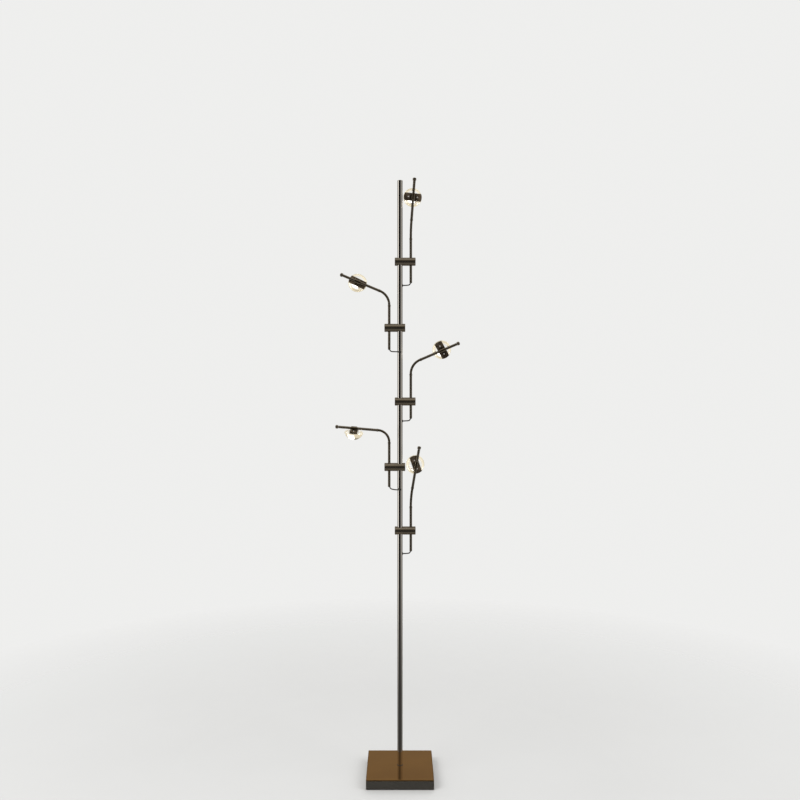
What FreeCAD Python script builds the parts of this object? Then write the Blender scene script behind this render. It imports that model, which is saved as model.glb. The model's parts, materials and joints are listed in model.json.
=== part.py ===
import FreeCAD, Part
import math
import os
import Sketcher

# Tree floor lamp: a square weighted base, one upright pole and five bendable arms.
# The origin is on the floor under the pole's axis. +X is to the right, +Y is away
# from the front and +Z is up. All sizes are in millimetres and degrees.

SIZES = {
    # base
    "base_width": 200,
    "pad_thickness": 1.5,
    "pad_inset": 4,
    "block_thickness": 24.5,
    "block_corner_radius": 1.5,
    "top_plate_thickness": 4,
    "top_plate_bevel": 0.8,
    "chamber_width": 60,
    "chamber_front": 20,
    "chamber_back": 82,
    "chamber_roof": 4,
    "cover_thickness": 1.5,
    "cover_rim": 8,
    "cover_gap": 0.2,
    "cover_screw_shank": 3,
    "cover_screw_head": 5.6,
    "cover_screw_length": 8,
    "cover_screw_inset": 4,
    "inlet_height": 11,
    "inlet_bore": 6.5,
    "inlet_shank": 9,
    "inlet_flange": 13,
    "inlet_flange_thickness": 1.6,
    "driver_length": 46,
    "driver_width": 38,
    "driver_height": 15,
    "driver_start": 24,
    "driver_edge_radius": 1.5,
    # pole
    "pole_diameter": 16,
    "pole_wall": 1.5,
    "pole_length": 1782,
    "cap_thickness": 2,
    "cap_plug_length": 10,
    "cap_bevel": 0.5,
    "foot_plug_length": 30,
    "foot_tail_diameter": 10,
    "foot_tail_length": 15,
    "foot_bore": 6.6,
    "foot_hole": 10.4,
    "nut_width": 15,
    "nut_thickness": 5,
    "nut_flange": 22,
    "nut_flange_thickness": 1.6,
    # cable and leads
    "trunk_diameter": 5,
    "trunk_bend_radius": 8,
    "trunk_above_lead": 12,
    "lead_diameter": 3.6,
    "lead_inside_arm": 9,
    "lead_drop": 6,
    "lead_level": 8,
    "lead_seat_gap": 0.1,
    "bush_shank": 5.8,
    "bush_flange": 7.8,
    "bush_flange_thickness": 1.2,
    "bush_inside": 0.5,
    # clamps
    "arm_offset": 33,
    "clamp_diameter": 25,
    "clamp_past_pole": 16,
    "clamp_past_arm": 14.5,
    "clamp_edge_radius": 1.5,
    "swivel_clearance": 0.05,
    "clamp_screw_diameter": 5,
    "clamp_screw_recess": 0.8,
    "clamp_1_height": 1566,
    "clamp_2_height": 1364,
    "clamp_3_height": 1139,
    "clamp_4_height": 939,
    "clamp_5_height": 745,
    # arms
    "rod_diameter": 8,
    "rod_wall": 1.5,
    "tube_length": 136,
    "tube_wall": 1,
    "tube_floor": 3,
    "collar_diameter": 9,
    "collar_length": 5,
    "gooseneck_length": 54,
    "gooseneck_diameter": 7.6,
    "gooseneck_bore": 4,
    "rod_length": 122,
    "knob_diameter": 11,
    "knob_length": 9,
    "knob_bevel": 0.8,
    "knob_crown": 2.2,
    "knob_groove": 1,
    "knob_plug_length": 8,
    "arm_1_drop": 64.5,
    "arm_2_drop": 66,
    "arm_3_drop": 51.5,
    "arm_4_drop": 60,
    "arm_5_drop": 62.5,
    "arm_1_bend_angle": 4.2,
    "arm_2_bend_angle": 67.2,
    "arm_3_bend_angle": 66.8,
    "arm_4_bend_angle": 85.2,
    "arm_5_bend_angle": 9.6,
    # heads
    "head_along_rod": 74,
    "hub_sleeve_diameter": 11.6,
    "hub_sleeve_length": 18,
    "hub_boss_diameter": 20,
    "hub_boss_back": 3,
    "hub_face": 6.2,
    "hub_spigot_diameter": 9,
    "hub_spigot_length": 2.4,
    "hinge_clearance": 0.05,
    "face_clearance": 0.1,
    "bracket_width": 24,
    "bracket_length": 55,
    "bracket_thickness": 1.3,
    "bracket_lip_thickness": 1.3,
    "bracket_lip_height": 4.9,
    "led_diameter": 18,
    "led_thickness": 2.2,
    "led_recess_depth": 1.2,
    "led_recess_gap": 0.3,
    "led_dome_radius": 3,
    "lens_diameter": 57,
    "lens_rebate_gap": 0.2,
    "lens_rebate_height": 3,
    "lens_skirt_height": 2.5,
    "lens_dome_height": 20.5,
    "lens_cavity_radius": 4,
    "head_1_turn_angle": 8,
    "head_2_turn_angle": 9,
    "head_3_turn_angle": 12.5,
    "head_4_turn_angle": 80,
    "head_5_turn_angle": 13,
    "head_1_spin_angle": 90,
    "head_2_spin_angle": 3,
    "head_3_spin_angle": 83,
    "head_4_spin_angle": 90,
    "head_5_spin_angle": -28.5,
}

RIGHT, LEFT = 1, -1
SIDES = (RIGHT, LEFT, RIGHT, LEFT, RIGHT)

# Points that a lead passes between its arm and the pole, measured from the pole's axis.
# A right arm's lead goes into the pole's side, and a left arm's goes round to the front.
SIDE_LEAD_MIDDLE = 18
FRONT_LEAD_MIDDLE = (14, 17)
FRONT_LEAD_TURN = 15

ARC_SHARE = 0.45  # how much of the shorter run beside a corner its arc may use
VOLUME_TOLERANCE = 0.01
CLOSE = 0.01  # lengths and heights this near are taken as the same
FULL_TURN = 360
ROUGH_BULGE = 0.2  # an arc's first guess, before the sketch is solved
TRUNK_LIFT = 0.5  # the trunk cable lies this far above the bottom cover

doc = FreeCAD.newDocument("tree_floor_lamp")
sheet = doc.addObject("Spreadsheet::Sheet", "lamp")
for row, (alias, number) in enumerate(SIZES.items(), 1):
    sheet.set(f"A{row}", alias)
    sheet.set(f"B{row}", str(number))
    sheet.setAlias(f"B{row}", alias)
doc.recompute()

nodes = {}


def size(alias):
    return float(sheet.get(alias))


def vector(x=0.0, y=0.0, z=0.0):
    return FreeCAD.Vector(x, y, z)


def turned_about(axis, degrees):
    return FreeCAD.Rotation(axis, degrees)


def bind(thing, **formulas):
    for path, formula in formulas.items():
        thing.setExpression(path.replace("__", "."), formula)


def keep(name, thing):
    thing.Label = name
    nodes[name] = thing
    return thing


# Sketches and features


def new_body(name):
    return doc.addObject("PartDesign::Body", name)


def sketch_on(body, role, height=None):
    sketch = body.newObject("Sketcher::SketchObject", f"{body.Name}_{role[:2]}_sketch")
    plane = next(f for f in body.Origin.OriginFeatures if f.Role == role)
    sketch.AttachmentSupport = [(plane, "")]
    sketch.MapMode = "FlatFace"
    if height:
        sketch.setExpression("AttachmentOffset.Base.z", height)
    return sketch


def fix_point(sketch, geometry, point, x, y):
    for kind, formula, axis in (("DistanceX", x, -2), ("DistanceY", y, -1)):
        if formula == "0":
            rule = Sketcher.Constraint("PointOnObject", geometry, point, axis)
            sketch.addConstraint(rule)
            continue
        now = float(sketch.evalExpression(formula))
        rule = Sketcher.Constraint(kind, -1, 1, geometry, point, now)
        number = sketch.addConstraint(rule)
        name = f"{kind}_{geometry}_{point}"
        sketch.renameConstraint(number, name)
        sketch.setExpression(f"Constraints.{name}", formula)


def draw_circle(sketch, diameter, x="0", y="0"):
    circle = Part.Circle(vector(), vector(z=1), 1)
    number = sketch.addGeometry(circle)
    rule = sketch.addConstraint(Sketcher.Constraint("Diameter", number, 2.0))
    sketch.renameConstraint(rule, f"diameter_{number}")
    sketch.setExpression(f"Constraints.diameter_{number}", diameter)
    if (x, y) == ("0", "0"):
        rule = Sketcher.Constraint("Coincident", number, 3, -1, 1)
        sketch.addConstraint(rule)
    else:
        fix_point(sketch, number, 3, x, y)


def draw_outline(sketch, points, arc_from=None):
    """The corners are formulas. The side that starts at corner arc_from is an arc."""
    corners = [vector(*(float(sketch.evalExpression(formula)) for formula in point))
               for point in points]
    count = len(corners)
    for i, start in enumerate(corners):
        end = corners[(i + 1) % count]
        if i == arc_from:
            outward = (end - start).cross(vector(z=1)) * ROUGH_BULGE
            side = Part.Arc(start, (start + end) / 2 + outward, end)
        else:
            side = Part.LineSegment(start, end)
        sketch.addGeometry(side)
    for i in range(count):
        following = (i + 1) % count
        sketch.addConstraint(Sketcher.Constraint("Coincident", i, 2, following, 1))
    for i, (x, y) in enumerate(points):
        fix_point(sketch, i, 1, x, y)


def draw_rectangle(sketch, left, right, bottom, top):
    draw_outline(sketch, [(left, bottom), (right, bottom), (right, top), (left, top)])


def pad(body, sketch, length, middle=False):
    feature = body.newObject("PartDesign::Pad", f"{body.Name}_pad")
    feature.Profile = sketch
    if middle:
        feature.Midplane = True
    feature.setExpression("Length", length)
    doc.recompute()
    return feature


def pocket(body, sketch, length=None, upward=False, middle=False):
    """Cuts along the sketch's normal when upward, else against it."""
    before = body.Shape.Volume
    feature = body.newObject("PartDesign::Pocket", f"{body.Name}_pocket")
    feature.Profile = sketch
    feature.Reversed = upward
    if middle:
        feature.Midplane = True
    if length:
        feature.setExpression("Length", length)
    else:
        feature.Type = "ThroughAll"
    doc.recompute()
    if not body.Shape.Volume < before:
        raise RuntimeError(f"a pocket of {body.Name} cuts nothing")
    return feature


def revolve(body, sketch):
    feature = body.newObject("PartDesign::Revolution", f"{body.Name}_turned")
    feature.Profile = sketch
    feature.ReferenceAxis = (sketch, ["V_Axis"])
    feature.Angle = FULL_TURN
    doc.recompute()
    return feature


def edges_where(feature, wanted):
    return [f"Edge{i}" for i, edge in enumerate(feature.Shape.Edges, 1) if wanted(edge)]


def bevel(body, feature, wanted, width):
    cut = body.newObject("PartDesign::Chamfer", f"{body.Name}_bevel")
    cut.Base = (feature, edges_where(feature, wanted))
    cut.setExpression("Size", width)
    doc.recompute()
    return cut


def rounded(body, feature, wanted, radius):
    fillet = body.newObject("PartDesign::Fillet", f"{body.Name}_round")
    fillet.Base = (feature, edges_where(feature, wanted))
    fillet.setExpression("Radius", radius)
    doc.recompute()
    return fillet


def turned_piece(name, points, dome_from=None):
    """A turned piece about Z. Each point is a radius and a height. An arc may make a dome."""
    body = new_body(name)
    sketch = sketch_on(body, "XZ_Plane")
    draw_outline(sketch, points, dome_from)
    if dome_from is not None:
        sketch.addConstraint(Sketcher.Constraint("PointOnObject", dome_from, 3, -2))
    revolve(body, sketch)
    return body


# Primitives and booleans


def box(name, length, width, height, x, y, z):
    thing = doc.addObject("Part::Box", name)
    bind(thing, Length=length, Width=width, Height=height)
    bind(thing, Placement__Base__x=x, Placement__Base__y=y, Placement__Base__z=z)
    return thing


def cylinder(name, radius, height, z="0", along=None):
    thing = doc.addObject("Part::Cylinder", name)
    bind(thing, Radius=radius, Height=height)
    if along:
        thing.Placement.Rotation = FreeCAD.Rotation(vector(z=1), along)
        start = {"x": along.x, "y": along.y}
        for letter, part in start.items():
            if part:
                thing.setExpression(f"Placement.Base.{letter}", z)
    else:
        thing.setExpression("Placement.Base.z", z)
    return thing


def cone(name, low_radius, high_radius, height, z="0"):
    thing = doc.addObject("Part::Cone", name)
    bind(thing, Radius1=low_radius, Radius2=high_radius, Height=height)
    thing.setExpression("Placement.Base.z", z)
    return thing


def fuse(name, things):
    joined = doc.addObject("Part::MultiFuse", name)
    joined.Shapes = things
    return joined


def cut(name, base, tool):
    result = doc.addObject("Part::Cut", name)
    result.Base = base
    result.Tool = tool
    return result


def common(name, things):
    result = doc.addObject("Part::MultiCommon", name)
    result.Shapes = things
    return result


def group(name, things):
    bundle = doc.addObject("Part::Compound", name)
    bundle.Links = things
    return bundle


def swept_round(points, diameter):
    """A round cable along straight runs, with the largest arc that each corner allows."""
    edges = []
    start = points[0]
    radii = []
    for before, corner, after in zip(points, points[1:], points[2:]):
        back, on = before - corner, after - corner
        turn = math.pi - back.getAngle(on)
        reach = ARC_SHARE * min(back.Length, on.Length)
        radii.append(reach / math.tan(turn / 2))
        back.normalize()
        on.normalize()
        arc_start, arc_end = corner + back * reach, corner + on * reach
        inward = (back + on).normalize()
        centre_distance = radii[-1] / math.cos(turn / 2)
        middle = corner + inward * (centre_distance - radii[-1])
        edges.append(Part.makeLine(start, arc_start))
        edges.append(Part.Arc(arc_start, middle, arc_end).toShape())
        start = arc_end
    edges.append(Part.makeLine(start, points[-1]))
    path = Part.Wire(edges)
    section = Part.Wire([Part.makeCircle(diameter / 2, points[0], points[1] - points[0])])
    solid = path.makePipeShell([section], True, False)
    expected = math.pi * diameter ** 2 / 4 * path.Length
    if abs(solid.Volume / expected - 1) > VOLUME_TOLERANCE:
        raise RuntimeError("a cable's volume is not its section times its length")
    return solid, radii, path.Length


# Base


BLOCK_BOTTOM = "lamp.pad_thickness"
BLOCK_TOP = "(lamp.pad_thickness + lamp.block_thickness)"
BASE_TOP = "(lamp.pad_thickness + lamp.block_thickness + lamp.top_plate_thickness)"
HALF_BASE = "lamp.base_width / 2"
POLE_BORE = "(lamp.pole_diameter - 2 * lamp.pole_wall)"
COVER_TOP = "(lamp.pad_thickness + lamp.cover_thickness)"


def is_upright(edge):
    span = edge.BoundBox
    return span.ZLength > CLOSE and span.XLength < CLOSE and span.YLength < CLOSE


def make_base_pad():
    side = "(lamp.base_width - 2 * lamp.pad_inset)"
    corner = "-(lamp.base_width / 2 - lamp.pad_inset)"
    keep("base_pad", box("base_pad", side, side, "lamp.pad_thickness", corner, corner, "0"))


def make_base_block():
    body = new_body("base_block")
    plan = sketch_on(body, "XY_Plane", BLOCK_BOTTOM)
    draw_rectangle(plan, f"-{HALF_BASE}", HALF_BASE, f"-{HALF_BASE}", HALF_BASE)
    block = pad(body, plan, "lamp.block_thickness")
    rounded(body, block, is_upright, "lamp.block_corner_radius")
    chamber = sketch_on(body, "XY_Plane", BLOCK_BOTTOM)
    half_chamber = "lamp.chamber_width / 2"
    draw_rectangle(chamber, f"-{half_chamber}", half_chamber,
                   "-lamp.chamber_front", "lamp.chamber_back")
    pocket(body, chamber, "lamp.block_thickness - lamp.chamber_roof", upward=True)
    seat = sketch_on(body, "XY_Plane", BLOCK_BOTTOM)
    rim = "lamp.cover_rim"
    draw_rectangle(seat, f"-({half_chamber} + {rim})", f"{half_chamber} + {rim}",
                   f"-(lamp.chamber_front + {rim})", f"lamp.chamber_back + {rim}")
    pocket(body, seat, "lamp.cover_thickness", upward=True)
    screws = sketch_on(body, "XY_Plane", BLOCK_BOTTOM)
    for x, y in cover_screw_places():
        draw_circle(screws, "lamp.cover_screw_shank", x, y)
    pocket(body, screws, "lamp.cover_screw_length", upward=True)
    tail = sketch_on(body, "XY_Plane", BLOCK_BOTTOM)
    draw_circle(tail, "lamp.foot_hole")
    pocket(body, tail, "lamp.block_thickness", upward=True)
    inlet = sketch_on(body, "XZ_Plane")
    draw_circle(inlet, "lamp.inlet_shank", "0", "lamp.inlet_height")
    pocket(body, inlet, HALF_BASE)
    keep("base_block", body)


def cover_screw_places():
    """Centres of the four cover screws, as formulas, in the rim beside the chamber."""
    side = "(lamp.chamber_width / 2 + lamp.cover_rim - lamp.cover_screw_inset)"
    front = "-(lamp.chamber_front + lamp.cover_rim - lamp.cover_screw_inset)"
    back = "(lamp.chamber_back + lamp.cover_rim - lamp.cover_screw_inset)"
    return [(f"{sign}{side}", y) for sign in ("-", "") for y in (front, back)]


def make_base_top_plate():
    body = new_body("base_top_plate")
    plan = sketch_on(body, "XY_Plane", BLOCK_TOP)
    draw_rectangle(plan, f"-{HALF_BASE}", HALF_BASE, f"-{HALF_BASE}", HALF_BASE)
    plate = pad(body, plan, "lamp.top_plate_thickness")
    corners = rounded(body, plate, is_upright, "lamp.block_corner_radius")
    top = plate.Shape.BoundBox.ZMax
    bevel(body, corners, lambda edge: edge.BoundBox.ZMin > top - CLOSE, "lamp.top_plate_bevel")
    tail = sketch_on(body, "XY_Plane", BLOCK_TOP)
    draw_circle(tail, "lamp.foot_hole")
    pocket(body, tail, "lamp.top_plate_thickness", upward=True)
    keep("base_top_plate", body)


def make_bottom_cover():
    width = "(lamp.chamber_width + 2 * lamp.cover_rim - 2 * lamp.cover_gap)"
    length = "(lamp.chamber_front + lamp.chamber_back + 2 * lamp.cover_rim - 2 * lamp.cover_gap)"
    corner_y = "-(lamp.chamber_front + lamp.cover_rim - lamp.cover_gap)"
    plate = box("cover_plate", width, length, "lamp.cover_thickness",
                f"-{width} / 2", corner_y, BLOCK_BOTTOM)
    holes = [screw_head(f"cover_hole_{i}", x, y) for i, (x, y) in enumerate(cover_screw_places(), 1)]
    keep("base_bottom_cover", cut("base_bottom_cover", plate, fuse("cover_holes", holes)))


def screw_head(name, x, y):
    head = cone(name, "lamp.cover_screw_head / 2", "lamp.cover_screw_shank / 2",
                "lamp.cover_thickness", BLOCK_BOTTOM)
    bind(head, Placement__Base__x=x, Placement__Base__y=y)
    return head


def make_cover_screws():
    screws = []
    for i, (x, y) in enumerate(cover_screw_places(), 1):
        head = screw_head(f"cover_screw_head_{i}", x, y)
        shank = cylinder(f"cover_screw_shank_{i}", "lamp.cover_screw_shank / 2",
                         "lamp.cover_screw_length - lamp.cover_thickness", COVER_TOP)
        bind(shank, Placement__Base__x=x, Placement__Base__y=y)
        screws.append(fuse(f"cover_screw_{i}", [head, shank]))
    keep("cover_screws", group("cover_screws", screws))


def make_cord_gland():
    """A bush in the rear side, turned about the inlet's axis, with its flange outside."""
    bore, shank, flange = (f"lamp.inlet_{word} / 2" for word in ("bore", "shank", "flange"))
    inside = "-(lamp.base_width / 2 - lamp.chamber_back)"
    gland = turned_piece("cord_gland", [
        (bore, inside), (shank, inside), (shank, "0"), (flange, "0"),
        (flange, "lamp.inlet_flange_thickness"), (bore, "lamp.inlet_flange_thickness")])
    gland.Placement.Rotation = FreeCAD.Rotation(vector(z=1), vector(y=1))
    bind(gland, Placement__Base__y=HALF_BASE, Placement__Base__z="lamp.inlet_height")
    keep("cord_gland", gland)


def make_led_driver():
    case = box("driver_case", "lamp.driver_width", "lamp.driver_length", "lamp.driver_height",
               "-lamp.driver_width / 2", "lamp.driver_start", COVER_TOP)
    doc.recompute()
    driver = doc.addObject("Part::Fillet", "led_driver")
    driver.Base = case
    radius = size("driver_edge_radius")
    driver.Edges = [(i, radius, radius) for i, edge in enumerate(case.Shape.Edges, 1)
                    if is_upright(edge)]
    keep("led_driver", driver)


# Pole


def make_pole():
    outer = cylinder("pole_outside", "lamp.pole_diameter / 2", "lamp.pole_length", BASE_TOP)
    bore = cylinder("pole_bore", f"{POLE_BORE} / 2", "lamp.pole_length", BASE_TOP)
    holes = [bore]
    for number, side in enumerate(SIDES, 1):
        toward = vector(x=1) if side == RIGHT else vector(y=-1)
        hole = cylinder(f"lead_hole_{number}", "lamp.bush_shank / 2", "lamp.pole_diameter", "0", toward)
        hole.setExpression("Placement.Base.z", lead_height(number))
        holes.append(hole)
    keep("pole", cut("pole", outer, fuse("pole_holes", holes)))


def make_pole_cap():
    edge, plug = "lamp.pole_diameter / 2", f"{POLE_BORE} / 2"
    cap = turned_piece("pole_cap", [
        ("0", "-lamp.cap_plug_length"), (plug, "-lamp.cap_plug_length"), (plug, "0"), (edge, "0"),
        (edge, "lamp.cap_thickness - lamp.cap_bevel"), (f"{edge} - lamp.cap_bevel", "lamp.cap_thickness"),
        ("0", "lamp.cap_thickness")])
    bind(cap, Placement__Base__z=f"{BASE_TOP} + lamp.pole_length")
    keep("pole_cap", cap)


def make_pole_foot():
    """A turned plug in the pole's lower end, with a hollow threaded tail below."""
    bore, tail, plug = "lamp.foot_bore / 2", "lamp.foot_tail_diameter / 2", f"{POLE_BORE} / 2"
    foot = turned_piece("pole_foot", [
        (bore, "-lamp.foot_tail_length"), (tail, "-lamp.foot_tail_length"), (tail, "0"), (plug, "0"),
        (plug, "lamp.foot_plug_length"), (bore, "lamp.foot_plug_length")])
    bind(foot, Placement__Base__z=BASE_TOP)
    keep("pole_foot", foot)


def make_foot_nut():
    """A hexagon nut with a flange, under the roof of the chamber in the base block."""
    roof = f"({BLOCK_TOP} - lamp.chamber_roof)"
    flange_bottom = f"{roof} - lamp.nut_flange_thickness"
    flange = cylinder("nut_flange", "lamp.nut_flange / 2", "lamp.nut_flange_thickness", flange_bottom)
    hexagon = doc.addObject("Part::Prism", "nut_hexagon")
    hexagon.Polygon = 6
    bind(hexagon, Circumradius="lamp.nut_width / 2 / cos(30)", Height="lamp.nut_thickness",
         Placement__Base__z=f"{flange_bottom} - lamp.nut_thickness")
    thread = cylinder("nut_thread", "lamp.foot_tail_diameter / 2",
                      "lamp.nut_thickness + lamp.nut_flange_thickness",
                      f"{flange_bottom} - lamp.nut_thickness")
    keep("pole_foot_nut", cut("pole_foot_nut", fuse("nut_body", [flange, hexagon]), thread))


# Cable and leads


def arm_foot_height(number):
    return f"(lamp.clamp_{number}_height - lamp.arm_{number}_drop)"


def lead_height(number):
    return f"(lamp.clamp_{number}_height - lamp.arm_{number}_drop - lamp.lead_level)"


def make_trunk_cable():
    """From the driver's near end, round a bend below the pole and up to the top lead."""
    base_top = size("pad_thickness") + size("block_thickness") + size("top_plate_thickness")
    low = size("pad_thickness") + size("cover_thickness") + size("trunk_diameter") / 2 + TRUNK_LIFT
    top = size("clamp_1_height") - size("arm_1_drop") - size("lead_level") + size("trunk_above_lead")
    radius = size("trunk_bend_radius")
    corner = vector(0, 0, low)
    along, up = vector(y=1), vector(z=1)
    arc_start, arc_end = corner + along * radius, corner + up * radius
    middle = corner + (along + up) * radius * (1 - math.sqrt(0.5))
    path = Part.Wire([
        Part.makeLine(vector(0, size("driver_start"), low), arc_start),
        Part.Arc(arc_start, middle, arc_end).toShape(),
        Part.makeLine(arc_end, vector(0, 0, base_top)),
        Part.makeLine(vector(0, 0, base_top), vector(0, 0, top))])
    section = Part.makeCircle(size("trunk_diameter") / 2, path.Vertexes[0].Point, along)
    cable = doc.addObject("Part::Feature", "trunk_cable")
    cable.Shape = path.makePipeShell([Part.Wire([section])], True, False)
    print(f"trunk cable: {path.Length:.0f} mm long, bent once at {radius:.1f} mm")
    keep("trunk_cable", cable)


def lead_points(number, side):
    """A lead's route, from inside its arm's lower end to the trunk cable."""
    x = side * size("arm_offset")
    foot = size(f"clamp_{number}_height") - size(f"arm_{number}_drop")
    level = foot - size("lead_level")
    seat = size("trunk_diameter") / 2 + size("lead_seat_gap")
    start = [vector(x, 0, foot + size("lead_inside_arm")), vector(x, 0, foot - size("lead_drop"))]
    if side == RIGHT:
        return start + [vector(SIDE_LEAD_MIDDLE, 0, level), vector(seat, 0, level)]
    middle_x, middle_y = FRONT_LEAD_MIDDLE
    return start + [vector(-middle_x, -middle_y, level), vector(0, -FRONT_LEAD_TURN, level),
                    vector(0, -seat, level)]


def make_arm_leads():
    solids = []
    for number, side in enumerate(SIDES, 1):
        solid, radii, length = swept_round(lead_points(number, side), size("lead_diameter"))
        arcs = ", ".join(f"{radius:.1f}" for radius in radii)
        print(f"lead {number}: {length:.0f} mm long, arcs of {arcs} mm")
        solids.append(solid)
    leads = doc.addObject("Part::Feature", "arm_leads")
    leads.Shape = Part.makeCompound(solids)
    keep("arm_leads", leads)


def make_lead_bushes():
    """A small flanged bush round each lead, in its hole in the pole's wall."""
    bushes = []
    outside = "lamp.pole_diameter / 2"
    for number, side in enumerate(SIDES, 1):
        bore, shank, flange = "lamp.lead_diameter / 2", "lamp.bush_shank / 2", "lamp.bush_flange / 2"
        inner = f"{POLE_BORE} / 2 - lamp.bush_inside"
        outer = f"{outside} + lamp.bush_flange_thickness"
        bush = turned_piece(f"lead_bush_{number}", [
            (bore, inner), (shank, inner), (shank, outside), (flange, outside), (flange, outer),
            (bore, outer)])
        toward = vector(x=1) if side == RIGHT else vector(y=-1)
        bush.Placement.Rotation = FreeCAD.Rotation(vector(z=1), toward)
        bush.setExpression("Placement.Base.z", lead_height(number))
        bushes.append(bush)
    keep("lead_bushes", group("lead_bushes", bushes))


# Clamps


def make_clamp(number, side):
    """A round cross bar with two upright holes, one for the pole and one for the arm."""
    body = new_body(f"clamp_{number}")
    end = sketch_on(body, "YZ_Plane", "-lamp.clamp_past_pole")
    draw_circle(end, "lamp.clamp_diameter")
    bar = pad(body, end, "lamp.clamp_past_pole + lamp.arm_offset + lamp.clamp_past_arm")
    rounded(body, bar, lambda edge: edge.BoundBox.XLength < CLOSE, "lamp.clamp_edge_radius")
    holes = sketch_on(body, "XY_Plane")
    draw_circle(holes, "lamp.pole_diameter")
    draw_circle(holes, "lamp.rod_diameter + 2 * lamp.swivel_clearance", "lamp.arm_offset", "0")
    pocket(body, holes, "2 * lamp.clamp_diameter", middle=True)
    for start, length in (("-lamp.clamp_past_pole", "lamp.clamp_past_pole"),
                          ("lamp.arm_offset", "lamp.clamp_past_arm")):
        screw = sketch_on(body, "YZ_Plane", start)
        draw_circle(screw, "lamp.clamp_screw_diameter")
        pocket(body, screw, length, upward=True)
    return place_clamp_piece(body, number, side)


def place_clamp_piece(piece, number, side):
    piece.Placement.Rotation = turned_about(vector(z=1), 0 if side == RIGHT else 180)
    bind(piece, Placement__Base__z=f"lamp.clamp_{number}_height")
    return piece


def make_clamp_screws():
    """Two set screws in each bar: one fixes it to the pole, one brakes the arm."""
    radius = "lamp.clamp_screw_diameter / 2"
    pieces = []
    for number, side in enumerate(SIDES, 1):
        pole_screw = cylinder(f"pole_screw_{number}", radius,
                              "lamp.clamp_past_pole - lamp.clamp_screw_recess - lamp.pole_diameter / 2",
                              "-(lamp.clamp_past_pole - lamp.clamp_screw_recess)", vector(x=1))
        tip = "(lamp.rod_diameter / 2 + lamp.swivel_clearance)"
        arm_screw = cylinder(f"arm_screw_{number}", radius,
                             f"lamp.clamp_past_arm - lamp.clamp_screw_recess - {tip}",
                             f"lamp.arm_offset + {tip}", vector(x=1))
        pair = group(f"clamp_screws_{number}", [pole_screw, arm_screw])
        pieces.append(place_clamp_piece(pair, number, side))
    keep("clamp_screws", group("clamp_screws", pieces))


# Arms


class Arm:
    """Where the pieces of one arm are: its side, upright tube, bend and head."""

    def __init__(self, number, side):
        self.number = number
        self.side = side
        self.bend = size(f"arm_{number}_bend_angle")
        foot = size(f"clamp_{number}_height") - size(f"arm_{number}_drop")
        self.foot = vector(side * size("arm_offset"), 0, foot)
        self.neck_start = self.foot + vector(z=size("tube_length"))
        angle = math.radians(self.bend)
        radius = size("gooseneck_length") / angle
        out, rise = radius * (1 - math.cos(angle)), radius * math.sin(angle)
        self.neck_end = self.neck_start + vector(x=side * out, z=rise)
        self.tilt = turned_about(vector(y=1), side * self.bend)
        self.rod_way = self.tilt.multVec(vector(z=1))
        self.head = self.neck_end + self.rod_way * size("head_along_rod")

    def head_rotation(self, spin=0.0):
        """Takes a piece's Z to the lens's direction and its X to the rod's direction."""
        turn = turned_about(vector(z=1), size(f"head_{self.number}_turn_angle"))
        spun = turned_about(vector(y=1), spin)
        lying = FreeCAD.Rotation(vector(z=1), vector(x=1), vector(y=1), "ZXY")
        return self.tilt.multiply(turn).multiply(spun).multiply(lying)


def make_arm_tube(arm):
    """The upright tube, with a floor that the lead goes through and a collar on top."""
    radius, collar = "lamp.rod_diameter / 2", "lamp.collar_diameter / 2"
    bore, lead = "lamp.rod_diameter / 2 - lamp.tube_wall", "lamp.lead_diameter / 2 + lamp.swivel_clearance"
    top = "lamp.tube_length"
    tube = turned_piece(f"arm_{arm.number}_tube", [
        (lead, "0"), (radius, "0"), (radius, f"{top} - lamp.collar_length"),
        (collar, f"{top} - lamp.collar_length"), (collar, top), (bore, top),
        (bore, "lamp.tube_floor"), (lead, "lamp.tube_floor")])
    tube.Placement.Base = arm.foot
    keep(f"arm_{arm.number}_tube", tube)


def make_gooseneck(arm):
    """A hollow bendable neck, bent to the arc that its length and bend give."""
    number = arm.number
    rings = []
    for word, width in (("outside", "diameter"), ("bore", "bore")):
        ring = doc.addObject("Part::Torus", f"gooseneck_{number}_{word}")
        bind(ring, Radius1=f"lamp.gooseneck_length / (lamp.arm_{number}_bend_angle * pi / 180)",
             Radius2=f"lamp.gooseneck_{width} / 2", Angle3=f"lamp.arm_{number}_bend_angle")
        rings.append(ring)
    neck = cut(f"arm_{number}_gooseneck", *rings)
    radius = size("gooseneck_length") / math.radians(arm.bend)
    upright = FreeCAD.Rotation(vector(x=-1), vector(z=1), vector(y=1), "XYZ")
    facing = turned_about(vector(z=1), 0 if arm.side == RIGHT else 180)
    neck.Placement = FreeCAD.Placement(arm.neck_start + vector(x=arm.side * radius),
                                       facing.multiply(upright))
    keep(f"arm_{number}_gooseneck", neck)


def make_arm_rod(arm):
    radius, collar = "lamp.rod_diameter / 2", "lamp.collar_diameter / 2"
    bore = "lamp.rod_diameter / 2 - lamp.rod_wall"
    rod = turned_piece(f"arm_{arm.number}_rod", [
        (bore, "0"), (collar, "0"), (collar, "lamp.collar_length"), (radius, "lamp.collar_length"),
        (radius, "lamp.rod_length"), (bore, "lamp.rod_length")])
    rod.Placement = FreeCAD.Placement(arm.neck_end, arm.tilt)
    keep(f"arm_{arm.number}_rod", rod)


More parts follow.
